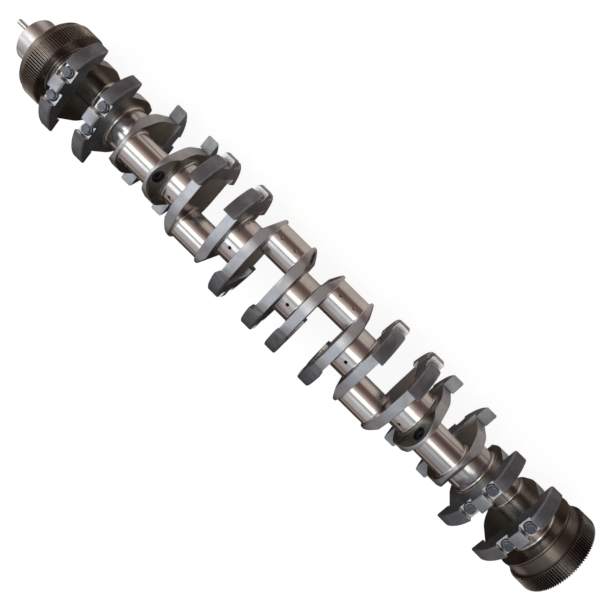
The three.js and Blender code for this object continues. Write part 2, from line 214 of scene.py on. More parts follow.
# The room's colour by the angle round the shaft from the view axis, in degrees: a cool wall on the
# near side, the ceiling's soft glow, a dark gap, and a warm wall beyond the shaft.
ROOM_BANDS = [
    (-180, (0.03, 0.03, 0.03)), (-106, (0.20, 0.165, 0.15)), (-94, (0.36, 0.31, 0.30)),
    (-81, (0.58, 0.52, 0.52)), (-70, (0.60, 0.58, 0.60)), (-58, (0.52, 0.52, 0.55)),
    (-50, (0.82, 0.85, 0.89)), (-37, (0.82, 0.85, 0.89)), (-30, (0.40, 0.42, 0.44)),
    (-26, (0.45, 0.46, 0.47)), (-20, (0.85, 0.84, 0.82)), (-3, (0.95, 0.90, 0.86)),
    (8, (0.72, 0.64, 0.58)), (17, (0.48, 0.39, 0.35)), (27, (0.26, 0.18, 0.155)),
    (37, (0.17, 0.11, 0.10)), (57, (0.16, 0.10, 0.092)), (66, (0.42, 0.34, 0.31)),
    (79, (1.00, 0.87, 0.82)), (88, (0.58, 0.50, 0.46)), (100, (0.50, 0.43, 0.39)),
    (180, (0.40, 0.35, 0.32)),
]
world = bpy.data.worlds.new("room")
world.use_nodes = True
tree = world.node_tree
tree.nodes.clear()
direction = add_node(tree, "TexCoord", {}).outputs["Generated"]
towards = add_node(tree, "VectorMath", {0: direction, 1: VIEW_AXIS}, operation="DOT_PRODUCT")
upwards = add_node(tree, "VectorMath", {0: direction, 1: VIEW_UP}, operation="DOT_PRODUCT")
angle = calculated(tree, "ARCTAN2", upwards.outputs["Value"], towards.outputs["Value"])
bands = add_node(tree, "ValToRGB", {"Fac": ramped(tree, angle, -math.pi, math.pi)})
stops = bands.color_ramp.elements
for degrees, colour in ROOM_BANDS[1:-1]:
    stops.new(degrees / 360 + 0.5).color = (*colour, 1)
stops[0].color = (*ROOM_BANDS[0][1], 1)
stops[-1].color = (*ROOM_BANDS[-1][1], 1)

# It dims towards the flywheel end, and the walls that close it past both ends are bright
along = add_node(tree, "SeparateXYZ", {"Vector": direction}).outputs["X"]
dimmed = ramped(tree, along, 0.22, 0.38, 1.0, 0.28)
end_walls = ramped(tree, calculated(tree, "ABSOLUTE", along), 0.56, 0.82, 0.0, 1.5)
strength = calculated(tree, "MAXIMUM", dimmed, end_walls)
room = add_node(tree, "Background", {"Color": bands.outputs["Color"], "Strength": strength})
backdrop = add_node(tree, "Background", {"Color": (1, 1, 1, 1), "Strength": 0.96})
path = add_node(tree, "LightPath", {})
choice = add_node(tree, "MixShader", {0: path.outputs["Is Camera Ray"], 1: room.outputs[0],
                                      2: backdrop.outputs[0]})
world_output = tree.nodes.new("ShaderNodeOutputWorld")
tree.links.new(choice.outputs[0], world_output.inputs["Surface"])
bpy.context.scene.world = world
bpy.context.scene.view_settings.view_transform = "Standard"

# Crankshaft forging: one piece of alloy steel with eight throws and nine main journals. The webs
# are machined all over to a satin finish, and the journals, the crankpins, the nose and the seal
# drum are ground and polished.
GROUND, SATIN, DRILLED, DRUM, NOSE, FACED, WEB_SIDE, WEB_INNER, OIL_HOLE = range(9)
TURN_UP = Matrix.Rotation(-math.pi / 2, 4, "Y")
TURN_DOWN = Matrix.Rotation(-math.pi / 2, 4, "Z")
TURN_BACK = Matrix.Rotation(math.pi, 4, "Z")
SAME_PLACE = 1e-6


def round_corners(mesh, corners, size, segments):
    """Rounds the corners of an outline."""
    bmesh.ops.bevel(mesh, geom=corners, offset=size, offset_type="OFFSET", segments=segments,
                    profile=0.5, affect="VERTICES", material=-1)


def round_edges(mesh, edges, size, segments, limited=True):
    """Rounds a solid's edges, and where limited, by no more than their short neighbours allow."""
    bmesh.ops.bevel(mesh, geom=edges, offset=size, offset_type="OFFSET", segments=segments,
                    profile=0.5, affect="EDGES", material=-1, clamp_overlap=limited)


def sharp_edges(mesh, least, most):
    """The edges whose faces meet at an angle between these, in degrees."""
    return [edge for edge in mesh.edges if len(edge.link_faces) == 2
            and math.radians(least) < edge.calc_face_angle() < math.radians(most)]


def extrude(mesh, height):
    """Draws a flat outline up along Z."""
    grown = bmesh.ops.extrude_face_region(mesh, geom=mesh.faces[:])["geom"]
    tops = [item for item in grown if isinstance(item, bmesh.types.BMVert)]
    bmesh.ops.translate(mesh, verts=tops, vec=(0, 0, height))


def slice_off(mesh, point, outwards):
    """Takes away what lies beyond a plane, and closes the cut."""
    everything = mesh.verts[:] + mesh.edges[:] + mesh.faces[:]
    cut = bmesh.ops.bisect_plane(mesh, geom=everything, plane_co=point, plane_no=outwards,
                                 clear_outer=True)["geom_cut"]
    rim = [item for item in cut if isinstance(item, bmesh.types.BMEdge)]
    bmesh.ops.edgeloop_fill(mesh, edges=rim)


def spun(points, steps, place=Matrix(), rounds=(), material=GROUND):
    """A closed solid turned about local X from (along, radius) points, with
    rounds at some of them as (point, size, segments)."""
    mesh = bmesh.new()
    verts = [mesh.verts.new((along, 0, radius)) for along, radius in points]
    for start, end in zip(verts, verts[1:]):
        mesh.edges.new((start, end))
    for point, size, segments in rounds:
        round_corners(mesh, [verts[point]], size, segments)
    bmesh.ops.spin(mesh, geom=mesh.verts[:] + mesh.edges[:], cent=(0, 0, 0), axis=(1, 0, 0),
                   angle=2 * math.pi, steps=steps, use_merge=True)
    bmesh.ops.remove_doubles(mesh, verts=mesh.verts, dist=SAME_PLACE)
    bmesh.ops.recalc_face_normals(mesh, faces=mesh.faces)
    bmesh.ops.transform(mesh, matrix=place, verts=mesh.verts)
    for face in mesh.faces:
        face.material_index = material
    return mesh


def copied(mesh, place):
    """A copy of a solid, set in its place."""
    other = mesh.copy()
    bmesh.ops.transform(other, matrix=place, verts=other.verts)
    return other


def combined(base, others, operation, materials):
    """The base solid with the others joined to it or cut from it."""
    group = bpy.data.collections.new("work")
    bpy.context.scene.collection.children.link(group)
    body = new_object("work", base, bpy.context.scene.collection, materials)
    for other in others:
        new_object("work", other, group, materials)
    modifier = body.modifiers.new("combine", "BOOLEAN")
    modifier.operation = operation
    modifier.operand_type = "COLLECTION"
    modifier.collection = group
    modifier.solver = "MANIFOLD"
    result = bmesh.new()
    result.from_object(body, bpy.context.evaluated_depsgraph_get())
    for item in [body] + list(group.objects):
        data = item.data
        bpy.data.objects.remove(item)
        bpy.data.meshes.remove(data)
    bpy.data.collections.remove(group)
    return result


def keep_piece(name, mesh, materials, slot, *nodes):
    """Makes the finished piece from its solid, and lets it stand for its CAD nodes."""
    made = new_object(name, mesh, bpy.context.scene.collection, materials)
    for polygon in made.data.polygons:
        polygon.use_smooth = True
    made.data.set_sharp_from_angle(angle=math.radians(32))
    modifier = made.modifiers.new("flat_faces", "WEIGHTED_NORMAL")
    modifier.keep_sharp = True
    modifier.weight = 100
    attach(made, "root")
    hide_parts(*nodes)


def new_group(name, inputs, outputs):
    """A shader node group, with its input and output sockets."""
    group = bpy.data.node_groups.new(name, "ShaderNodeTree")
    for label, kind, value in inputs:
        socket = group.interface.new_socket(label, in_out="INPUT", socket_type=kind)
        socket.default_value = value
    for label, kind in outputs:
        group.interface.new_socket(label, in_out="OUTPUT", socket_type=kind)
    given = group.nodes.new("NodeGroupInput").outputs
    result = group.nodes.new("NodeGroupOutput").inputs
    return group, given, result


# Lines left by turning and grinding, which run round the shaft, and round its end faces where
# Faces is 1
turned_lines, given, result = new_group(
    "turned_lines", [("Lines", "NodeSocketFloat", 400.0), ("Faces", "NodeSocketFloat", 0.0)],
    [("Height", "NodeSocketFloat")])
coordinates = add_node(turned_lines, "TexCoord", {}).outputs["Object"]
stretched = add_node(turned_lines, "VectorMath", {0: coordinates, 1: (1, 0.01, 0.01)},
                     operation="MULTIPLY")
across = add_node(turned_lines, "VectorMath", {0: coordinates, 1: (0, 1, 1)},
                  operation="MULTIPLY")
radius = add_node(turned_lines, "VectorMath", {0: across.outputs[0]}, operation="LENGTH")
outwards = calculated(turned_lines, "MULTIPLY", radius.outputs["Value"], given["Faces"])
step = add_node(turned_lines, "CombineXYZ", {"X": outwards})
moved = add_node(turned_lines, "VectorMath", {0: stretched.outputs[0], 1: step.outputs[0]},
                 operation="ADD")
lines = add_node(turned_lines, "TexNoise", {"Vector": moved.outputs[0], "Scale": given["Lines"],
                                            "Detail": 3.0})
turned_lines.links.new(lines.outputs["Fac"], result["Height"])

# Two tones of one metal, clean and with a thin oily stain
oil_stain, given, result = new_group(
    "oil_stain",
    [("Clean", "NodeSocketColor", (1, 1, 1, 1)), ("Stained", "NodeSocketColor", (0, 0, 0, 1)),
     ("Scale", "NodeSocketFloat", 12.0)],
    [("Color", "NodeSocketColor"), ("Amount", "NodeSocketFloat")])
coordinates = add_node(oil_stain, "TexCoord", {}).outputs["Object"]
cloud = add_node(oil_stain, "TexNoise", {"Vector": coordinates, "Scale": given["Scale"],
                                         "Detail": 7.0, "Roughness": 0.6, "Distortion": 0.6})
amount = ramped(oil_stain, cloud.outputs["Fac"], 0.36, 0.66)
tone = mixed_colour(oil_stain, amount, given["Clean"], given["Stained"])
oil_stain.links.new(tone, result["Color"])
oil_stain.links.new(amount, result["Amount"])

# A broken-up mask along edges, where handling has polished the metal
edge_wear, given, result = new_group("edge_wear", [("Width", "NodeSocketFloat", 0.002)],
                                     [("Mask", "NodeSocketFloat")])
rounded = add_node(edge_wear, "Bevel", {"Radius": given["Width"]}, samples=6)
geometry = add_node(edge_wear, "NewGeometry", {})
match = add_node(edge_wear, "VectorMath", {0: rounded.outputs[0], 1: geometry.outputs["Normal"]},
                 operation="DOT_PRODUCT")
coordinates = add_node(edge_wear, "TexCoord", {}).outputs["Object"]
broken = add_node(edge_wear, "TexNoise", {"Vector": coordinates, "Scale": 60.0, "Detail": 4.0})
mask = calculated(edge_wear, "MULTIPLY",
                  ramped(edge_wear, match.outputs["Value"], 0.99, 0.86),
                  ramped(edge_wear, broken.outputs["Fac"], 0.3, 0.55, 0.35))
edge_wear.links.new(mask, result["Mask"])


def metal(name, clean, stained, stain_scale, roughness, metallic=1.0, lines=400.0,
          line_depth=0.0, faces=0.0, grain_scale=0.0, grain_depth=0.0, worn=None,
          worn_width=0.002):
    """A metal finish: roughness is its (least, most), depths are bump heights in metres."""
    material, tree, surface = new_material(name)
    stain = add_node(tree, "Group", {}, node_tree=oil_stain)
    stain.inputs["Clean"].default_value = (*clean, 1)
    stain.inputs["Stained"].default_value = (*stained, 1)
    stain.inputs["Scale"].default_value = stain_scale
    turning = add_node(tree, "Group", {}, node_tree=turned_lines)
    turning.inputs["Lines"].default_value = lines
    turning.inputs["Faces"].default_value = faces
    height = turning.outputs["Height"]
    dulled = calculated(tree, "MULTIPLY", stain.outputs["Amount"], height)
    rough = ramped(tree, dulled, 0.0, 0.7, *roughness)
    shader = add_node(tree, "BsdfPrincipled", {"Metallic": metallic, "Roughness": rough})
    colour = stain.outputs["Color"]
    if worn:
        wear = add_node(tree, "Group", {}, node_tree=edge_wear)
        wear.inputs["Width"].default_value = worn_width
        colour = mixed_colour(tree, wear.outputs["Mask"], colour, (*worn, 1))
    tree.links.new(colour, shader.inputs["Base Color"])
    normal = shader.inputs["Normal"]
    if grain_depth:
        coordinates = add_node(tree, "TexCoord", {}).outputs["Object"]
        grain = add_node(tree, "TexNoise", {"Vector": coordinates, "Scale": grain_scale,
                                            "Detail": 5.0})
        bump = add_node(tree, "Bump", {"Height": grain.outputs["Fac"], "Distance": grain_depth})
        tree.links.new(bump.outputs[0], normal)
        normal = bump.inputs["Normal"]
    if line_depth:
        bump = add_node(tree, "Bump", {"Height": height, "Distance": line_depth})
        tree.links.new(bump.outputs[0], normal)
    tree.links.new(shader.outputs[0], surface)
    return material


ground_steel = metal("ground_steel", (0.69, 0.675, 0.665), (0.57, 0.55, 0.53), 9.0, (0.13, 0.22),
                     lines=500.0, line_depth=0.00002)
satin_steel = metal("satin_steel", (0.50, 0.52, 0.56), (0.37, 0.375, 0.39), 11.0, (0.34, 0.50),
                    grain_scale=260.0, grain_depth=0.0003, worn=(0.64, 0.64, 0.65),
                    worn_width=0.003)
# Inside the drilled holes and round the bolt seats the steel is painted dark, as painted shade
drilled_steel_painted_shade = metal("drilled_steel_painted_shade", (0.13, 0.13, 0.14), (0.05, 0.045, 0.04), 40.0,
                      (0.35, 0.55))
drum_steel = metal("drum_steel", (0.25, 0.217, 0.190), (0.17, 0.145, 0.125), 7.0, (0.26, 0.38),
                   line_depth=0.00003, faces=1.0)
nose_steel = metal("nose_steel", (0.72, 0.72, 0.72), (0.60, 0.59, 0.58), 14.0, (0.26, 0.36),
                   lines=500.0, line_depth=0.00004, faces=1.0)
faced_steel = metal("faced_steel", (0.52, 0.51, 0.50), (0.38, 0.365, 0.345), 9.0, (0.40, 0.52),
                    lines=260.0, line_depth=0.00006, faces=1.0)
web_side_steel = metal("web_side_steel", (0.33, 0.322, 0.30), (0.19, 0.18, 0.152), 9.0,
                       (0.32, 0.46), grain_scale=260.0, grain_depth=0.0003,
                       worn=(0.60, 0.59, 0.58), worn_width=0.003)
web_inner_steel = metal("web_inner_steel", (0.24, 0.228, 0.20), (0.135, 0.125, 0.100), 8.0,
                        (0.13, 0.24), grain_scale=200.0, grain_depth=0.0001,
                        worn=(0.60, 0.59, 0.58), worn_width=0.003)
oil_hole_steel = metal("oil_hole_steel", (0.30, 0.21, 0.18), (0.18, 0.12, 0.10), 60.0,
                       (0.30, 0.50))
FORGING_FINISHES = [ground_steel, satin_steel, drilled_steel_painted_shade, drum_steel, nose_steel,
                    faced_steel, web_side_steel, web_inner_steel, oil_hole_steel]

THROWS = range(1, 9)
ENDS = ("front", "rear")
THROW_RADIUS = 0.095
PIN_RADIUS = 0.065
PIN_HALF = 0.0635
PIN_COLLAR, PIN_FILLET = 0.073, 0.006
JOURNAL_RADIUS = 0.087
JOURNAL_HALF = 0.0355
JOURNAL_COLLAR, JOURNAL_FILLET = 0.097, 0.007
COLLAR_HEIGHT = 0.0012
WEB_THICKNESS = 0.0385
WEB_OUTER = PIN_HALF + WEB_THICKNESS
WEB_MIDDLE = PIN_HALF + WEB_THICKNESS / 2
WEB_HALF_WIDTH = 0.121
WEB_SHOULDER, WEB_SHOULDER_ROUND = 0.040, 0.034
WEB_TIP, WEB_TIP_HALF_WIDTH, WEB_TIP_ROUND = 0.170, 0.056, 0.0555
WEB_EDGE_ROUND, WEB_SHORTEST_EDGE = 0.0022, 0.0012
WEB_TIP_THICKNESS = 0.008
WEB_BEVEL_START = 0.104
BEVEL_ANGLE = math.atan((WEB_THICKNESS - WEB_TIP_THICKNESS) / (WEB_TIP - WEB_BEVEL_START))
JOINT_HEIGHT = 0.112
FIT_GAP = 0.0003
SINK = 0.004


def throw_in_cad(number):
    """A throw's place along the shaft, halfway between its two counterweights."""
    corners = [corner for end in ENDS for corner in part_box(f"counterweight_{number}_{end}")]
    return sum(corner.x for corner in corners) / len(corners)


THROW_4 = throw_in_cad(4)
THROW_PITCH = throw_in_cad(5) - THROW_4


def throw_centre(number):
    """The middle of a throw, on an even pitch from the fourth."""
    return THROW_4 + (number - 4) * THROW_PITCH


def half_throw(number, end):
    """The frame of one web: X is sideways, Y points to the crankpin and Z along the shaft, away
    from the throw."""
    low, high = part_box(f"counterweight_{number}_{end}")
    middle = (low + high) / 2
    to_pin = -Vector((0, middle.y, middle.z)).normalized()
    to_pin = Vector([round(part) for part in to_pin])
    away = Vector((1 if end == "rear" else -1, 0, 0))
    matrix = Matrix((to_pin.cross(away), to_pin, away)).transposed().to_4x4()
    matrix.translation = (throw_centre(number), 0, 0)
    return matrix


def web_solid():
    """A slab with a round end over the crankpin and a long bevel beside the main journal."""
    mesh = bmesh.new()
    outline = [(-WEB_HALF_WIDTH, -JOINT_HEIGHT), (WEB_HALF_WIDTH, -JOINT_HEIGHT),
               (WEB_HALF_WIDTH, WEB_SHOULDER), (WEB_TIP_HALF_WIDTH, WEB_TIP),
               (-WEB_TIP_HALF_WIDTH, WEB_TIP), (-WEB_HALF_WIDTH, WEB_SHOULDER)]
    corners = [mesh.verts.new((x, y, PIN_HALF)) for x, y in outline]
    mesh.faces.new(corners)
    round_corners(mesh, corners[3:5], WEB_TIP_ROUND, 14)
    round_corners(mesh, [corners[2], corners[5]], WEB_SHOULDER_ROUND, 8)
    bmesh.ops.remove_doubles(mesh, verts=mesh.verts, dist=WEB_SHORTEST_EDGE)
    extrude(mesh, WEB_THICKNESS)
    slice_off(mesh, (0, WEB_BEVEL_START, WEB_OUTER),
              (0, math.sin(BEVEL_ANGLE), math.cos(BEVEL_ANGLE)))
    bmesh.ops.remove_doubles(mesh, verts=mesh.verts, dist=SAME_PLACE)
    bmesh.ops.recalc_face_normals(mesh, faces=mesh.faces)
    round_edges(mesh, sharp_edges(mesh, 40, 140), WEB_EDGE_ROUND, 3)
    for face in mesh.faces:
        if face.normal.z > 0.8:
            face.material_index = WEB_SIDE
        elif face.normal.z < -0.99:
            face.material_index = WEB_INNER
        else:
            face.material_index = SATIN
    return mesh


def neck(half, radius, collar, fillet, steps):
    """A journal or crankpin between two webs, with a low collar and a fillet at each."""
    face, sunk = half - COLLAR_HEIGHT, half + SINK
    return spun([(-sunk, 0), (-sunk, collar), (-face, collar), (-face, radius), (face, radius),
                 (face, collar), (sunk, collar), (sunk, 0)], steps,
                rounds=[(3, fillet, 6), (4, fillet, 6)])


pin = neck(PIN_HALF, PIN_RADIUS, PIN_COLLAR, PIN_FILLET, 96)
journal = neck(JOURNAL_HALF, JOURNAL_RADIUS, JOURNAL_COLLAR, JOURNAL_FILLET, 120)

# The nose is stepped up to the stop that the front gear bears on, and then to the first journal
DOWEL_STANDS_OUT = 0.046
NOSE_RADIUS = 0.0845
GEAR_STOP_RADIUS, GEAR_STOP_WIDTH = 0.096, 0.004
front_gear_low, front_gear_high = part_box("front_gear")
dowel_low, dowel_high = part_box("nose_dowel")
nose_end = dowel_low.x + DOWEL_STANDS_OUT
gear_stop = front_gear_high.x + FIT_GAP
first_web = throw_centre(1) - WEB_OUTER
front_end = spun([(nose_end, 0), (nose_end, NOSE_RADIUS), (gear_stop, NOSE_RADIUS),
                  (gear_stop, GEAR_STOP_RADIUS), (gear_stop + GEAR_STOP_WIDTH, GEAR_STOP_RADIUS),
                  (gear_stop + GEAR_STOP_WIDTH, JOURNAL_RADIUS),
                  (first_web - COLLAR_HEIGHT, JOURNAL_RADIUS),
                  (first_web - COLLAR_HEIGHT, JOURNAL_COLLAR), (first_web + SINK, JOURNAL_COLLAR),
                  (first_web + SINK, 0)], 120,
                 rounds=[(1, 0.005, 1), (4, 0.001, 2), (5, JOURNAL_FILLET, 6),
                         (6, JOURNAL_FILLET, 6)])
for face in front_end.faces:
    along = face.calc_center_median().x
    if along < gear_stop:
        face.material_index = FACED if along < nose_end + 1e-4 else NOSE

# Behind the last journal are the oil slinger, a groove, the seal drum and the flange
SLINGER_RADIUS, SLINGER_WIDTH = 0.150, 0.0055
GROOVE_RADIUS, GROOVE_WIDTH = 0.142, 0.005
DRUM_RADIUS = 0.147
FLANGE_RADIUS = 0.1236
rear_gear_low, rear_gear_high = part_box("rear_gear")
last_web = throw_centre(8) + WEB_OUTER
slinger = last_web + 2 * JOURNAL_HALF
groove = slinger + SLINGER_WIDTH
drum = groove + GROOVE_WIDTH
rear_end = spun([(last_web - SINK, 0), (last_web - SINK, JOURNAL_COLLAR),
                 (last_web + COLLAR_HEIGHT, JOURNAL_COLLAR),
                 (last_web + COLLAR_HEIGHT, JOURNAL_RADIUS), (slinger, JOURNAL_RADIUS),
                 (slinger, SLINGER_RADIUS), (groove, SLINGER_RADIUS), (groove, GROOVE_RADIUS),
                 (drum, GROOVE_RADIUS), (drum, DRUM_RADIUS), (rear_gear_low.x, DRUM_RADIUS),
                 (rear_gear_low.x, FLANGE_RADIUS), (cad_high.x, FLANGE_RADIUS),
                 (cad_high.x, 0)], 160,
                rounds=[(3, JOURNAL_FILLET, 6), (4, 0.008, 6), (5, 0.001, 2), (6, 0.001, 2),
                        (9, 0.001, 2), (10, 0.001, 2), (12, 0.002, 1)])
for face in rear_end.faces:
    along = face.calc_center_median().x
    if along > slinger - 0.0005:
        face.material_index = FACED if along > cad_high.x - 1e-4 else DRUM

# Each crankpin's bore is drilled square to the web's bevel, from the side that faces the middle
# of the shaft, and its mouth is opened out for a plug
BORE_HEIGHT, BORE_RADIUS, BORE_DEPTH = 0.138, 0.021, 0.125
PLUG_SEAT_RADIUS, PLUG_SEAT_DEPTH = 0.0255, 0.002
bore_along = WEB_OUTER - (BORE_HEIGHT - WEB_BEVEL_START) * math.tan(BEVEL_ANGLE)
BORE_FRAME = (Matrix.Translation((0, BORE_HEIGHT, bore_along))
              @ Matrix.Rotation(-BEVEL_ANGLE, 4, "X") @ TURN_UP)


def bore_end(number):
    """The web that a throw's bore opens on."""
    return "rear" if number <= 4 else "front"


def blind_hole(radius, depth, mouth, material=DRILLED):
    """A drill for a hole along local -X from the origin, with a chamfered mouth."""
    return spun([(-depth - 0.6 * radius, 0), (-depth, radius), (-mouth, radius),
                 (SINK, radius + mouth + SINK), (SINK, 0)], 32, material=material)


def through_hole(radius, mouth, reach):
    """A drill for a hole along local X right through a journal, with chamfered mouths."""
    outside = reach + SINK
    return spun([(-outside, 0), (-outside, radius + mouth + SINK), (-reach + mouth, radius),
                 (reach - mouth, radius), (outside, radius + mouth + SINK), (outside, 0)], 24,
                material=DRILLED)


OIL_HOLE_RADIUS = 0.004
PIN_OIL_HOLES, PIN_OIL_ANGLE = (-0.031, 0.031), math.radians(150)
BOLT_OFFSETS = {"left": -0.0473, "right": 0.0473}
BOLT_HOLE_RADIUS = 0.0128
parts = [rear_end]
drills = []
web = web_solid()
pin_oil_drill = blind_hole(OIL_HOLE_RADIUS, 0.003, 0.0022, material=OIL_HOLE)
pin_top = Matrix.Translation((PIN_RADIUS, 0, 0))
for number in THROWS:
    pin_frame = half_throw(number, "rear") @ Matrix.Translation((0, THROW_RADIUS, 0))
    parts.append(copied(pin, pin_frame @ TURN_UP))
    if number < THROWS[-1]:
        middle = throw_centre(number) + THROW_PITCH / 2
        parts.append(copied(journal, Matrix.Translation((middle, 0, 0))))
    for along in PIN_OIL_HOLES:
        radial = Matrix.Translation((0, 0, along)) @ Matrix.Rotation(PIN_OIL_ANGLE, 4, "Z")
        drills.append(copied(pin_oil_drill, pin_frame @ radial @ pin_top))
    bore = half_throw(number, bore_end(number)) @ BORE_FRAME
    drills.append(copied(blind_hole(BORE_RADIUS, BORE_DEPTH, 0.0015), bore))
    drills.append(spun([(-PLUG_SEAT_DEPTH, 0), (-PLUG_SEAT_DEPTH, PLUG_SEAT_RADIUS),
                        (0.01, PLUG_SEAT_RADIUS), (0.01, 0)], 48, place=bore, material=DRILLED))
    for end in ENDS:
        web_frame = half_throw(number, end)
        parts.append(copied(web, web_frame))
        for offset in BOLT_OFFSETS.values():
            foot = Matrix.Translation((offset, -JOINT_HEIGHT, WEB_MIDDLE)) @ TURN_DOWN
            drills.append(copied(blind_hole(BOLT_HOLE_RADIUS, 0.058, 0.001), web_frame @ foot))

# The oil holes of the three middle journals are in line, and each further out is turned on more
SHAFT_TO_Y = Matrix.Rotation(math.pi / 2, 4, "Z")
JOURNAL_OIL_ANGLE, JOURNAL_OIL_STEP = 102, 20
for step in range(-4, 5):
    middle = Matrix.Translation((THROW_4 + THROW_PITCH / 2 + step * THROW_PITCH, 0, 0))
    turn = math.radians(JOURNAL_OIL_ANGLE + JOURNAL_OIL_STEP * max(0, abs(step) - 1))
    drills.append(copied(through_hole(OIL_HOLE_RADIUS, 0.003, JOURNAL_RADIUS),
                         middle @ Matrix.Rotation(turn, 4, "X") @ SHAFT_TO_Y))


def around(count, circle, first):
    """Points on a circle round the shaft, from a first angle in degrees from +Y towards +Z."""
    angles = [math.radians(first) + index * 2 * math.pi / count for index in range(count)]
    return [Vector((0, circle * math.cos(angle), circle * math.sin(angle))) for angle in angles]


# Both end faces have a ring of bolt holes and a centre drilling, and the nose a hole for its dowel
DAMPER_HOLES, DAMPER_CIRCLE = 6, 0.062
FLYWHEEL_HOLES, FLYWHEEL_CIRCLE = 12, 0.095
dowel_axis = (dowel_low + dowel_high) / 2
dowel_hole = Matrix.Translation((nose_end, dowel_axis.y, dowel_axis.z))
drills.append(copied(blind_hole(0.0104, 0.040, 0.001), dowel_hole @ TURN_BACK))
for spot in around(DAMPER_HOLES, DAMPER_CIRCLE, 97.5):
    damper_hole = Matrix.Translation(spot + Vector((nose_end, 0, 0)))
    drills.append(copied(blind_hole(0.009, 0.040, 0.0015), damper_hole @ TURN_BACK))
for spot in around(FLYWHEEL_HOLES, FLYWHEEL_CIRCLE, 0):
    flywheel_hole = Matrix.Translation(spot + Vector((cad_high.x, 0, 0)))
    drills.append(copied(blind_hole(0.013, 0.045, 0.0015), flywheel_hole))
CENTRE_DRILL = [(-0.030, 0), (-0.028, 0.006), (-0.016, 0.006), (0, 0.016), (0.004, 0.019),
                (0.004, 0)]
for end_face, turn in ((nose_end, TURN_BACK), (cad_high.x, Matrix())):
    drills.append(spun(CENTRE_DRILL, 48, place=Matrix.Translation((end_face, 0, 0)) @ turn))

forging = combined(front_end, parts, "UNION", FORGING_FINISHES)
forging = combined(forging, drills, "DIFFERENCE", FORGING_FINISHES)
keep_piece("crankshaft_steel_forging", forging, FORGING_FINISHES, "ground_steel",
           "crankshaft_forging")

# Gears: steel rings shrunk on to each end of the shaft, which drive the camshafts and pumps. The
# front one has a plain chamfered shoulder before its teeth. Both have faces dished by a hair, and
# the rear one is painted darker than the front one, as painted shade.
DISH = 0.0003
TOOTH_DEPTH = 0.007
GEAR_CHAMFER, BORE_CHAMFER = 0.0015, 0.0016


def gear_solid(teeth, tip, start, end, plain):
    """A ring toothed from start to end, with its other sides as plain (along, radius) points."""
    toothed = [(start, tip - GEAR_CHAMFER), (start + GEAR_CHAMFER, tip), (end - GEAR_CHAMFER, tip),
               (end, tip - GEAR_CHAMFER)]
    shrink = 1 - TOOTH_DEPTH / tip
    mesh = bmesh.new()
    loops = []
    for along, radius in toothed + plain:
        place = Matrix.Translation((along, 0, 0)) @ Matrix.Rotation(math.pi / 2, 4, "Y")
        verts = bmesh.ops.create_circle(mesh, segments=4 * teeth, radius=radius,
                                        matrix=place)["verts"]
        if len(loops) < len(toothed):
            roots = [vert for index, vert in enumerate(verts) if index % 4 < 2]
            bmesh.ops.scale(mesh, vec=(1, shrink, shrink), verts=roots)
        loops.append(list({edge for vert in verts for edge in vert.link_edges}))
    for loop, following in zip(loops, loops[1:] + loops[:1]):
        bmesh.ops.bridge_loops(mesh, edges=loop + following)
    bmesh.ops.recalc_face_normals(mesh, faces=mesh.faces)
    return mesh


gear_steel = metal("gear_steel", (0.25, 0.215, 0.19), (0.13, 0.105, 0.088), 14.0, (0.24, 0.40),
                   lines=350.0, line_depth=0.00003, faces=1.0, worn=(0.46, 0.42, 0.38),
                   worn_width=0.0015)
front, back = front_gear_low.x, front_gear_high.x
shoulder = front + 0.024
front_gear = gear_solid(100, 0.159, shoulder, back, [
    (back - DISH, 0.147), (back - 0.003, 0.145), (back - 0.003 - DISH, 0.107), (back, 0.105),
    (back - DISH, 0.0865), (back - BORE_CHAMFER, 0.0849), (front + BORE_CHAMFER, 0.0849),
    (front + DISH, 0.0865), (front, 0.144), (front + 0.007, 0.151), (shoulder - DISH, 0.151)])
keep_piece("front_timing_gear", front_gear, [gear_steel], "gear_steel", "front_gear")

# A darker copy of the gear steel: painted shade on the rear gear
gear_steel_painted_shade = metal("gear_steel_painted_shade", (0.17, 0.148, 0.132), (0.09, 0.075, 0.065), 14.0,
                         (0.24, 0.40), lines=350.0, line_depth=0.00003, faces=1.0,
                         worn=(0.36, 0.33, 0.30), worn_width=0.0015)
front, back = rear_gear_low.x, rear_gear_high.x
rear_gear = gear_solid(104, 0.161, front, back, [
    (back - DISH, 0.149), (back - 0.002, 0.1475), (back - 0.002 - DISH, 0.1285), (back, 0.127),
    (back - DISH, 0.126), (back - BORE_CHAMFER, 0.1244), (front + BORE_CHAMFER, 0.1244),
    (front + DISH, 0.126)])
keep_piece("rear_timing_gear", rear_gear, [gear_steel_painted_shade], "gear_steel", "rear_gear")

# Nose dowel: a ground steel pin pressed into the nose. It sets the vibration damper's position,
# and has a rounded lead-in at its free end.
dowel_steel = metal("dowel_steel", (0.74, 0.74, 0.745), (0.62, 0.61, 0.60), 40.0, (0.12, 0.24),
                    lines=900.0, line_depth=0.00001)
dowel_radius = (dowel_high.y - dowel_low.y) / 2
dowel = spun([(dowel_low.x, 0), (dowel_low.x, dowel_radius), (dowel_high.x, dowel_radius),
              (dowel_high.x, 0)], 64,
             place=Matrix.Translation((0, dowel_axis.y, dowel_axis.z)),
             rounds=[(1, 0.002, 3), (2, 0.001, 1)])
keep_piece("nose_timing_dowel", dowel, [dowel_steel], "dowel_steel", "nose_dowel")

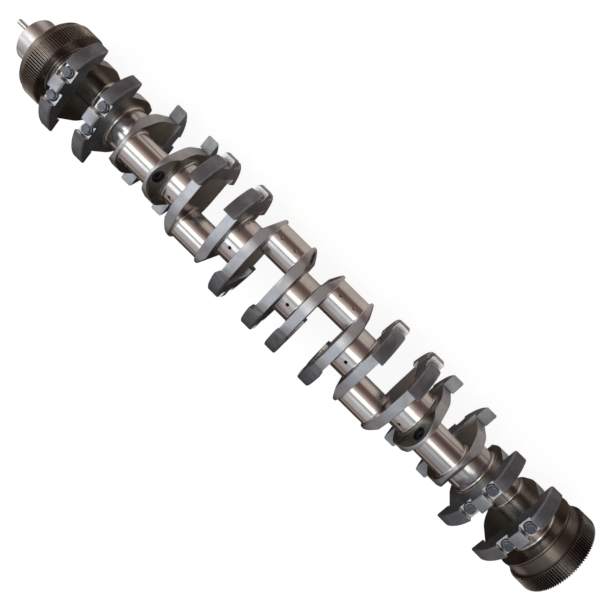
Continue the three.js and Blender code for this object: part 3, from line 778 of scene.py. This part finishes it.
# Oil plugs: blackened steel plugs with a hexagon socket, screwed into the bore that hollows each
# crankpin, just below the face of the web.
plug_steel = metal("plug_steel", (0.055, 0.065, 0.085), (0.030, 0.032, 0.038), 60.0,
                   (0.30, 0.48), metallic=0.9, worn=(0.22, 0.23, 0.25), worn_width=0.001)
PLUG_TOP, PLUG_BOTTOM, PLUG_RADIUS = -0.007, -0.023, 0.0206
SOCKET_BOTTOM, SOCKET_RADIUS = PLUG_TOP - 0.009, 0.009
plug = spun([(PLUG_BOTTOM, 0), (PLUG_BOTTOM, PLUG_RADIUS), (PLUG_TOP, PLUG_RADIUS),
             (PLUG_TOP, 0)], 48, rounds=[(1, 0.0015, 1), (2, 0.0015, 2)])
socket = spun([(SOCKET_BOTTOM, 0), (SOCKET_BOTTOM, SOCKET_RADIUS),
               (PLUG_TOP - 0.001, SOCKET_RADIUS), (PLUG_TOP + 0.002, 0.012),
               (PLUG_TOP + 0.002, 0)], 6)
plug = combined(plug, [socket], "DIFFERENCE", [plug_steel])
for number in THROWS:
    place = half_throw(number, bore_end(number)) @ BORE_FRAME
    keep_piece(f"crankpin_oil_plug_{number}", copied(plug, place), [plug_steel], "plug_steel",
               f"oil_plug_{number}")

# Counterweights: slices of an iron disc, painted dark, notched to sit over the foot of each web.
# Two pockets are milled bright in the rim for the bolt heads, with a land left between them. The
# land and the horn ends take a lighter copy of the paint, a painted highlight, and the spot face
# round each bolt seat takes the dark hole finish, a painted shade.
weight_iron = metal("weight_iron", (0.27, 0.288, 0.325), (0.165, 0.172, 0.19), 16.0,
                    (0.42, 0.56), grain_scale=180.0, grain_depth=0.0005,
                    worn=(0.46, 0.46, 0.47), worn_width=0.0025)
milled_iron = metal("milled_iron", (0.80, 0.805, 0.82), (0.66, 0.655, 0.65), 30.0, (0.30, 0.42),
                    lines=700.0, line_depth=0.00004)
# A lighter copy of the painted iron: painted highlight on the land and the horn ends
painted_highlight_iron = metal("painted_highlight_iron", (0.36, 0.368, 0.395), (0.24, 0.243, 0.255), 26.0, (0.32, 0.44),
                  grain_scale=220.0, grain_depth=0.0002, worn=(0.60, 0.60, 0.61),
                  worn_width=0.002)
WEIGHT_FINISHES = [weight_iron, milled_iron, painted_highlight_iron, drilled_steel_painted_shade]
PAINTED, MILLED, PAINTED_HIGHLIGHT, SPOT_FACED = range(4)
WEIGHT_RADIUS = cad_high.z
WEIGHT_CHAMFER = 0.0045
WEIGHT_INNER, WEIGHT_OUTER = 0.0555, 0.105
WEIGHT_EDGE_ROUND, WEIGHT_SHORTEST_EDGE = 0.0010, 0.00006
HORN_HEIGHT, HORN_ROUND = 0.086, 0.0038
NOTCH_HALF_WIDTH, NOTCH_CORNER = WEB_HALF_WIDTH + FIT_GAP, 0.0025
POCKET_HEIGHT, POCKET_LENGTH, POCKET_CORNER = 0.163, 0.048, 0.003
SPOT_FACE_HEIGHT, SPOT_FACE_RADIUS = POCKET_HEIGHT - 0.0025, 0.0212


def cutter(low, high, corner):
    """A milling cut between two corners, with its edges along local Z rounded."""
    mesh = bmesh.new()
    low, high = Vector(low), Vector(high)
    place = Matrix.Translation((low + high) / 2) @ Matrix.Diagonal((*(high - low), 1))
    bmesh.ops.create_cube(mesh, size=1, matrix=place)
    upright = [edge for edge in mesh.edges
               if abs((edge.verts[0].co - edge.verts[1].co).z) > 1e-4]
    round_edges(mesh, upright, corner, 5)
    for face in mesh.faces:
        face.material_index = MILLED
    return mesh


weight = spun([(WEIGHT_INNER, 0), (WEIGHT_INNER, WEIGHT_RADIUS - WEIGHT_CHAMFER),
               (WEIGHT_INNER + WEIGHT_CHAMFER, WEIGHT_RADIUS),
               (WEIGHT_OUTER - WEIGHT_CHAMFER, WEIGHT_RADIUS),
               (WEIGHT_OUTER, WEIGHT_RADIUS - WEIGHT_CHAMFER), (WEIGHT_OUTER, 0)], 144,
              place=TURN_UP, material=PAINTED)
slice_off(weight, (0, -HORN_HEIGHT, 0), (0, 1, 0))
bmesh.ops.recalc_face_normals(weight, faces=weight.faces)
cutters = [cutter((-NOTCH_HALF_WIDTH, -JOINT_HEIGHT - FIT_GAP, 0), (NOTCH_HALF_WIDTH, 0, 0.2),
                  NOTCH_CORNER)]
# The spot face round each bolt seat takes the dark finish: a painted shade ring round the bolt head
bolt_cutter = spun([(0.1, 0), (0.1, BOLT_HOLE_RADIUS), (SPOT_FACE_HEIGHT, BOLT_HOLE_RADIUS),
                    (SPOT_FACE_HEIGHT, SPOT_FACE_RADIUS), (0.2, SPOT_FACE_RADIUS), (0.2, 0)],
                   40, material=SPOT_FACED)
for offset in BOLT_OFFSETS.values():
    cutters.append(cutter((offset - POCKET_LENGTH / 2, -0.3, 0),
                          (offset + POCKET_LENGTH / 2, -POCKET_HEIGHT, 0.2), POCKET_CORNER))
    bolt_axis = Matrix.Translation((offset, 0, WEB_MIDDLE)) @ TURN_DOWN
    cutters.append(copied(bolt_cutter, bolt_axis))
weight = combined(weight, cutters, "DIFFERENCE", WEIGHT_FINISHES)
horn_edges = [edge for edge in sharp_edges(weight, 40, 140)
              if all(abs(vert.co.y + HORN_HEIGHT) < 1e-4 for vert in edge.verts)]
round_edges(weight, horn_edges, HORN_ROUND, 3)
round_edges(weight, sharp_edges(weight, 60, 120), WEIGHT_EDGE_ROUND, 2, limited=False)
bmesh.ops.remove_doubles(weight, verts=weight.verts, dist=WEIGHT_SHORTEST_EDGE)
# The land between the pockets and the horn ends take the lighter copy of the paint: painted
# highlight
for face in weight.faces:
    middle = face.calc_center_median()
    between_pockets = (middle.y < -POCKET_HEIGHT and abs(middle.x) < BOLT_OFFSETS["right"]
                       and abs(face.normal.z) < 0.5)
    horn_end = face.normal.y > 0.99
    if face.material_index == PAINTED and (between_pockets or horn_end):
        face.material_index = PAINTED_HIGHLIGHT
for number in THROWS:
    for end in ENDS:
        node = f"counterweight_{number}_{end}"
        keep_piece(f"painted_{node}", copied(weight, half_throw(number, end)), WEIGHT_FINISHES,
                   "counterweight_iron", node)

# Counterweight bolts: blackened high-strength bolts with a washer face and a twelve-point head,
# two to each counterweight, screwed into the foot of the web.
bolt_steel = metal("bolt_steel", (0.16, 0.185, 0.215), (0.10, 0.105, 0.115), 50.0, (0.26, 0.42),
                   metallic=0.9, worn=(0.50, 0.51, 0.53), worn_width=0.0015)
BOLT_END, BOLT_TOP = 0.060, 0.1793
BOLT_SEAT = SPOT_FACE_HEIGHT + FIT_GAP
WASHER_TOP, WASHER_RADIUS, WASHER_CHAMFER = POCKET_HEIGHT + 0.0040, 0.0190, 0.0015
SHANK_RADIUS = 0.0120
THREAD_TURNS, THREAD_PITCH = 15, 0.003
THREAD_ROOT, THREAD_CREST = 0.0104, 0.0119
THREAD_END = BOLT_END + 0.049
HEAD_RADIUS, HEAD_FLUTES = 0.0168, 0.88
profile = [(BOLT_END, 0), (BOLT_END, 0.0100)]
for turn in range(THREAD_TURNS):
    root = BOLT_END + 0.002 + turn * THREAD_PITCH
    profile += [(root, THREAD_ROOT), (root + THREAD_PITCH / 2, THREAD_CREST)]
profile += [(THREAD_END, 0.0112), (THREAD_END + 0.002, SHANK_RADIUS),
            (BOLT_SEAT, SHANK_RADIUS), (BOLT_SEAT, WASHER_RADIUS), (WASHER_TOP, WASHER_RADIUS),
            (WASHER_TOP + WASHER_CHAMFER, 0.0165), (WASHER_TOP + WASHER_CHAMFER, 0)]
bolt = spun(profile, 40)
head = bmesh.new()
points = bmesh.ops.create_circle(head, cap_ends=True, segments=24, radius=HEAD_RADIUS)["verts"]
bmesh.ops.scale(head, vec=(HEAD_FLUTES, HEAD_FLUTES, 1), verts=points[::2])
extrude(head, BOLT_TOP - WASHER_TOP)
bmesh.ops.recalc_face_normals(head, faces=head.faces)
top_edges = [edge for edge in head.edges if all(vert.co.z > 0.001 for vert in edge.verts)]
round_edges(head, top_edges, 0.0012, 2)
head = copied(head, Matrix.Translation((WASHER_TOP, 0, 0)) @ Matrix.Rotation(math.pi / 2, 4, "Y"))
bolt = combined(bolt, [head], "UNION", [bolt_steel])
for number in THROWS:
    for end in ENDS:
        for hand, offset in BOLT_OFFSETS.items():
            node = f"counterweight_bolt_{number}_{end}_{hand}"
            bolt_axis = Matrix.Translation((offset, 0, WEB_MIDDLE)) @ TURN_DOWN
            keep_piece(f"twelve_point_{node}", copied(bolt, half_throw(number, end) @ bolt_axis),
                       [bolt_steel], "bolt_steel", node)
